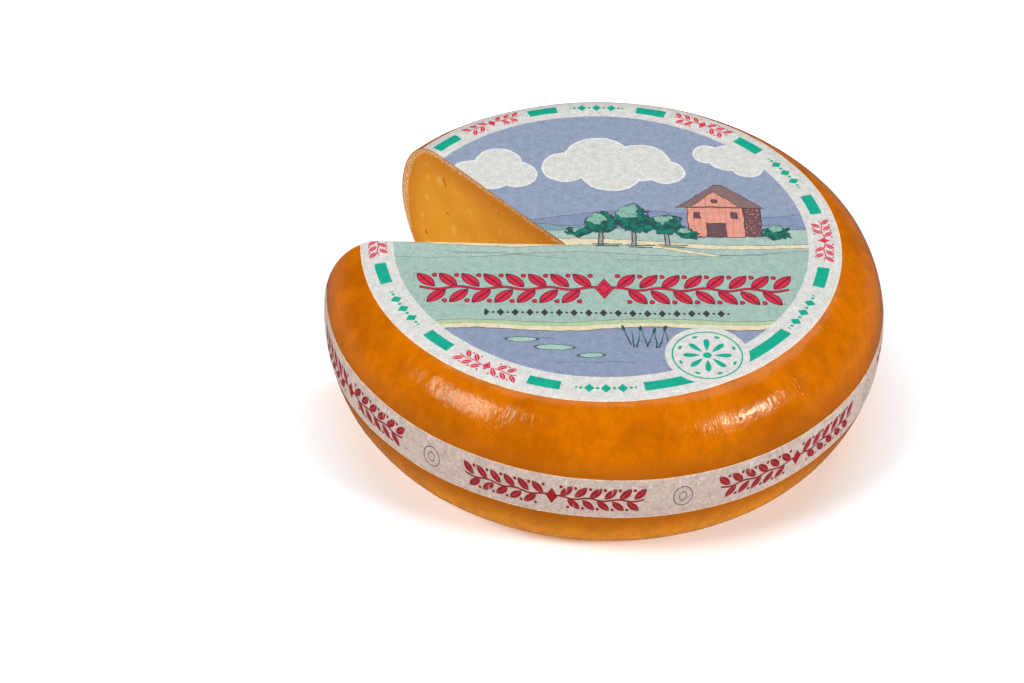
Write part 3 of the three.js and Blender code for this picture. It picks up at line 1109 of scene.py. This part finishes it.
    blocks = union([plate((0, -0.5), (10, 3.8), where=ringPlace(15, 30)),
                    plate((0, -0.5), (19.5, 3.8), where=ringPlace(-46.5, 360)),
                    plate((0, -0.5), (18, 3.8), where=ringPlace(-73.5, 360))])
    colour = paint(colour, blocks, label["green"])
    greenX, greenY, _ = split(tree, ringPlace(30, 60))
    folded = join(tree, calc(tree, "PINGPONG", greenX, 5.0), greenY)
    lozenges = union([plate((0, -0.5), (3.2, 3.8), point=0.84, where=folded),
                      disc((5, -0.5), (1.1, 1.1), where=folded)])
    ends = calc(tree, "SUBTRACT", calc(tree, "ABSOLUTE", greenX), 18.2)
    colour = paint(colour, calc(tree, "MAXIMUM", lozenges, ends), label["green"])
    redPlace = vectorCalc(tree, "ADD", ringPlace(0, 60), (0, 0.5, 0))
    smallGarland = place(tree, groups["garland"], {"Place": redPlace, "Unit": 0.56, "Leaves": 3.0})[0]
    sealX, sealY, sealRadius = label["seal"]
    onSeal = vectorCalc(tree, "ADD", flat, (-sealX, -sealY, 0))
    awayFromSeal = calc(tree, "MULTIPLY", disc((0, 0), (40, 40), where=onSeal), -1.0)
    colour = paint(colour, calc(tree, "MAXIMUM", smallGarland, awayFromSeal), label["crimson"])

    # seal: a paper disc with a ring and a rosette
    sealDisc = disc((0, 0), (sealRadius, sealRadius), where=onSeal)
    colour = paint(colour, sealDisc, label["paper"])
    colour = paint(colour, strip(disc((0, 0), (21, 21), where=onSeal), 0.5), label["green"])
    u, v, _ = split(tree, onSeal)
    petals = calc(tree, "PINGPONG", calc(tree, "ARCTAN2", v, u), math.pi / 8)
    petalPlace = join(tree, calc(tree, "MULTIPLY", petals, 10.0), lengthOf(tree, onSeal))
    rosette = union([disc((0, 9.5), (1.7, 5.2), where=petalPlace), disc((0, 0), (2.6, 2.6), where=onSeal),
                     disc((3.9, 17.5), (1.0, 1.0), where=petalPlace)])
    colour = paint(colour, rosette, label["green"])
    colour = paint(colour, calc(tree, "SUBTRACT", float(labelRadius) - 0.9, radius), label["edge"])

    fibre = place(tree, groups["fibre"], {"Place": flat, "Mottle": 1.9, "Scratches": 0.09})
    finishPaper(tree, shader, colour, fibre, label["paperBrightness"], 0.06, 0.55)
    return material


band = {
    "brightness": 0.7,
    "paper": tone(213, 191, 181),
    "edge": tone(240, 208, 176),
    "crimson": tone(176, 8, 30),
    "crimsonInk": tone(110, 10, 30),
    "stamp": tone(92, 84, 84),
    # painted highlight where the folds catch the light
    "fold": tone(244, 232, 226),
    "repeat": 50.2,  # degrees from one print to the next
    "firstStamp": -126.2,
    "firstGarland": -101,
}


def makeBandMaterial(coordinates, groups):
    material, tree, shader = newMaterial("printedBand")
    at = place(tree, coordinates, {})
    # height above the middle of the band
    middle = float(bandLow.z + bandHigh.z) / 2 / mm
    line = calc(tree, "MULTIPLY_ADD", at["X"], paper["bandTilt"][0], middle)
    line = calc(tree, "MULTIPLY_ADD", at["Y"], paper["bandTilt"][1], line)
    sway = calc(tree, "SINE", calc(tree, "MULTIPLY_ADD", at["Turn"], 2.0, paper["bandPhase"]))
    line = calc(tree, "MULTIPLY_ADD", sway, paper["bandWander"], line)
    across = calc(tree, "SUBTRACT", at["Height"], line)

    def repeated(first):
        return wrapPlace(tree, at["Turn"], first, band["repeat"], wheel["radius"], across)

    def paint(under, shape, fill, ink=(0, 0, 0, 1), inkWidth=0.0):
        return place(tree, groups["layer"], {"Under": under, "Distance": shape, "Fill": fill, "Ink": ink,
                                             "Ink Width": inkWidth})[0]

    garland = place(tree, groups["garland"], {"Place": repeated(band["firstGarland"]), "Unit": 0.8,
                                              "Leaves": 6.0})[0]
    colour = paint(band["paper"], garland, band["crimson"], band["crimsonInk"], 0.3)
    stampPlace = repeated(band["firstStamp"])
    for half, width in (((5.8, 7.4), 0.3), ((2.2, 3.4), 0.25)):
        oval = place(tree, groups["disc"], {"Place": stampPlace, "Centre": (0, 0, 0),
                                            "Half Size": (*half, 1)})[0]
        ring = calc(tree, "SUBTRACT", calc(tree, "ABSOLUTE", oval), width)
        colour = paint(colour, ring, band["stamp"])
    fibre = place(tree, groups["fibre"], {"Place": at["Wrapped"], "Mottle": 2.4, "Scratches": 0.24})
    # painted highlight: the folds catch the light as short pale lines near both edges
    leaning = stretched(tree, at["Wrapped"], (1, 1, 0.05), (0, 0.25, 0))
    folds = ramp(tree, grain(tree, leaning, 2.2, 1), 0.64, 0.74)
    folds = calc(tree, "MULTIPLY", folds, ramp(tree, calc(tree, "ABSOLUTE", across), 3, 11, 0.05, 0.7))
    colour = blend(tree, folds, colour, band["fold"])
    edge = calc(tree, "SUBTRACT", paper["bandWidth"] / 2 - 0.8, calc(tree, "ABSOLUTE", across))
    colour = paint(colour, edge, band["edge"])
    finishPaper(tree, shader, colour, fibre, band["brightness"], 0.08, 0.5)
    return material


studio = {
    "cameraPlace": (-0.0587, -1.1946, 1.0731),
    "cameraPitch": 41.2,
    "cameraRoll": 0.54,
    "lens": 85,
    "room": 0.05,  # what the glossy coat mirrors beside the softboxes
    "backdrop": 1.1,  # what the camera sees behind the floor
    "floor": 0.68,  # how white it is as a plain surface
    "filter": 0.9,  # share of it that the coat's reflections don't show
    "floorGlow": 0.42,  # a white floor lit a little from below
    "floorSeen": (0.96, 1.04, 1.1, 1),  # what the camera sees of it
    "fade": (0.175, 0.42),  # distances from the wheel's middle over which it burns out to white, m
    "lights": [
        # name, azimuth and elevation from the wheel, distance, width, height, radiance
        ("leftSoftbox", -150, 38, 2.6, 1.0, 1.3, 11),
        ("leftCore", -151, 38.5, 2.59, 0.6, 0.65, 7),
        ("rightSoftbox", -33, 28, 2.6, 1.0, 1.0, 4.5),
        ("rightCore", -32, 28, 2.59, 0.52, 0.4, 56),
        ("backFill", 84, 64, 2.8, 3.2, 2.0, 2.4),
    ],
}


def makeStudio():
    camera = bpy.data.objects.new("camera", bpy.data.cameras.new("camera"))
    camera.data.lens = studio["lens"]
    camera.data.sensor_width = 36
    turn = Matrix.Rotation(math.radians(90 - studio["cameraPitch"]), 4, "X")
    roll = Matrix.Rotation(math.radians(studio["cameraRoll"]), 4, "Z")
    camera.matrix_world = Matrix.Translation(studio["cameraPlace"]) @ turn @ roll
    scene.collection.objects.link(camera)
    scene.camera = camera

    middle = Vector((0, 0, wheel["height"] * mm / 2))
    for name, azimuth, elevation, distance, width, height, radiance in studio["lights"]:
        lamp = bpy.data.lights.new(name, "AREA")
        lamp.shape = "RECTANGLE"
        lamp.size, lamp.size_y = width, height
        lamp.energy = radiance * math.pi * width * height
        made = bpy.data.objects.new(name, lamp)
        turned, raised = math.radians(azimuth), math.radians(elevation)
        away = Vector((math.cos(turned) * math.cos(raised), math.sin(turned) * math.cos(raised),
                       math.sin(raised)))
        made.location = middle + away * distance
        made.rotation_mode = "QUATERNION"
        made.rotation_quaternion = away.to_track_quat("Z", "Y")
        scene.collection.objects.link(made)

    # a dark room with a pale backdrop behind the floor
    white = (1, 1, 1, 1)
    world = bpy.data.worlds.new("studioWorld")
    world.use_nodes = True
    tree = world.node_tree
    room = tree.nodes["Background"]
    room.inputs["Color"].default_value = white
    room.inputs["Strength"].default_value = studio["room"]
    backdrop = addNode(tree, "Background", {"Color": white, "Strength": studio["backdrop"]})
    either = addNode(tree, "MixShader", {0: addNode(tree, "LightPath").outputs["Is Camera Ray"],
                                         1: room.outputs[0], 2: backdrop.outputs[0]})
    tree.links.new(either.outputs[0], tree.nodes["World Output"].inputs["Surface"])
    scene.world = world

    half = 5
    corners = [(-half, -half, 0), (half, -half, 0), (half, half, 0), (-half, half, 0)]
    floorMesh = bpy.data.meshes.new("floor")
    floorMesh.from_pydata(corners, [], [(0, 1, 2, 3)])
    floor = bpy.data.objects.new("floor", floorMesh)
    scene.collection.objects.link(floor)
    # three floors in one: what lights the wheel, what it mirrors, and what the camera sees
    material, tree, shader = newMaterial("floorWhite")
    path = addNode(tree, "LightPath").outputs
    filtered = calc(tree, "MULTIPLY", path["Is Glossy Ray"], studio["filter"])
    dull = addNode(tree, "BsdfDiffuse", {"Color": (0.03, 0.03, 0.03, 1)})
    seen = addNode(tree, "MixShader", {0: filtered, 1: shader.outputs[0], 2: dull.outputs[0]})
    lit = addNode(tree, "BsdfDiffuse", {"Color": studio["floorSeen"]})
    spot = addNode(tree, "TexCoord").outputs["Object"]
    away = lengthOf(tree, spot)
    glow = addNode(tree, "Emission", {"Color": white, "Strength": ramp(tree, away, *studio["fade"])})
    burnt = addNode(tree, "AddShader", {0: lit.outputs[0], 1: glow.outputs[0]})
    seen = addNode(tree, "MixShader", {0: path["Is Camera Ray"], 1: seen.outputs[0], 2: burnt.outputs[0]})
    tree.links.new(seen.outputs[0], tree.nodes["Material Output"].inputs["Surface"])
    shader.inputs["Base Color"].default_value = (studio["floor"],) * 3 + (1,)
    shader.inputs["Roughness"].default_value = 0.9
    shader.inputs["Specular IOR Level"].default_value = 0.1
    shader.inputs["Emission Color"].default_value = white
    shader.inputs["Emission Strength"].default_value = studio["floorGlow"]
    floor.data.materials.append(material)


makeStudio()
coordinates = wheelCoordinates()
groups = printGroups()
cheeseWheel = makeCheese()
cheeseWheel.data.materials.append(makeCoatMaterial(coordinates))
cheeseWheel.data.materials.append(makePasteMaterial(coordinates))
cutOpenings(cheeseWheel)
print("cheese done", len(cheeseWheel.data.polygons), "faces")
topLabel = makeLabel()
topLabel.data.materials.append(makeLabelMaterial(coordinates, groups))
sideBand = makeBand()
sideBand.data.materials.append(makeBandMaterial(coordinates, groups))
print("label and band done")

for piece, node, slot in (
    (cheeseWheel, "cheese", "cheese"),
    (topLabel, "top_label", "label_paper"),
    (sideBand, "side_band", "band_paper"),
):
    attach(piece, "root")
    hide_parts(node)

print("pieces in place")
